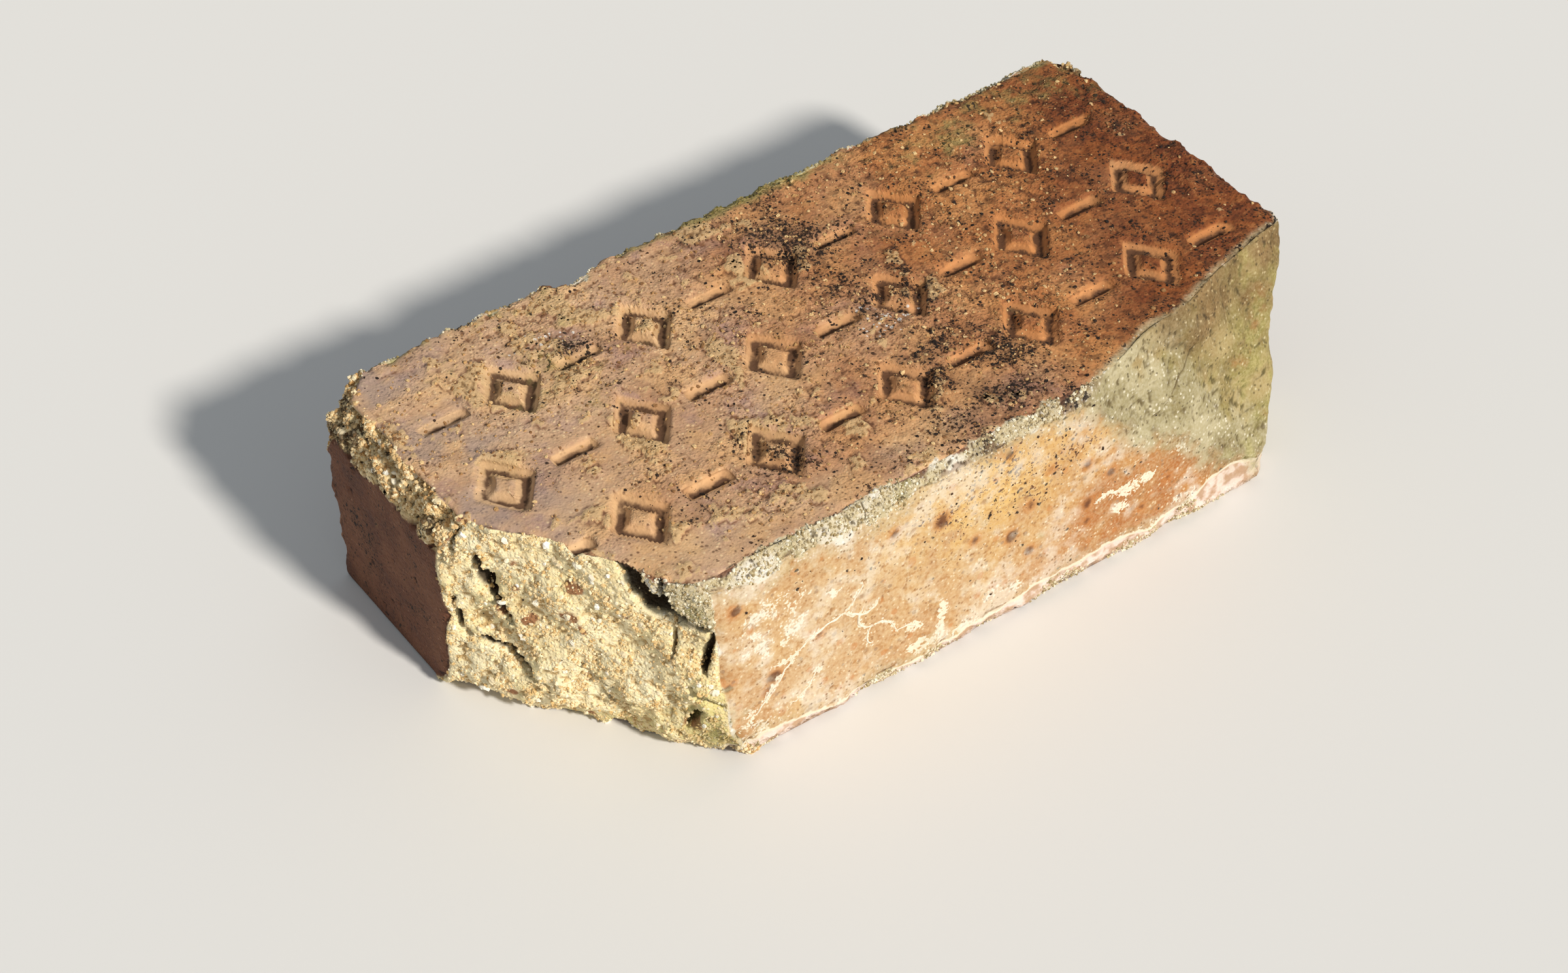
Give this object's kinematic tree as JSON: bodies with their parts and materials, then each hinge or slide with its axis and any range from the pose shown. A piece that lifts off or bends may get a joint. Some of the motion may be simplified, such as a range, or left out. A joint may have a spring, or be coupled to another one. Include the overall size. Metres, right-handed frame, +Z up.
{
  "type": "clay brick",
  "caption": "Solid pressed and fired clay brick, old and worn, with a broken corner, a spalled corner and sunk keying marks in its top bed.",
  "frame": {"origin": "middle of the underside, at the centre of the block's rectangle", "axes": "+X along the length, away from the broken end; +Y across the width, towards the sound long face; +Z up, out of the marked bed"},
  "size_m": [0.2286, 0.1142, 0.0635],
  "materials": {
    "fired_clay": "dry matt fired clay, reddish brown on the top bed, buff on the long face, coarse yellow-buff where it is broken, with soot, lime and algae"
  },
  "bodies": {
    "root": {"brick": "fired_clay"}
  },
  "joints": []
}
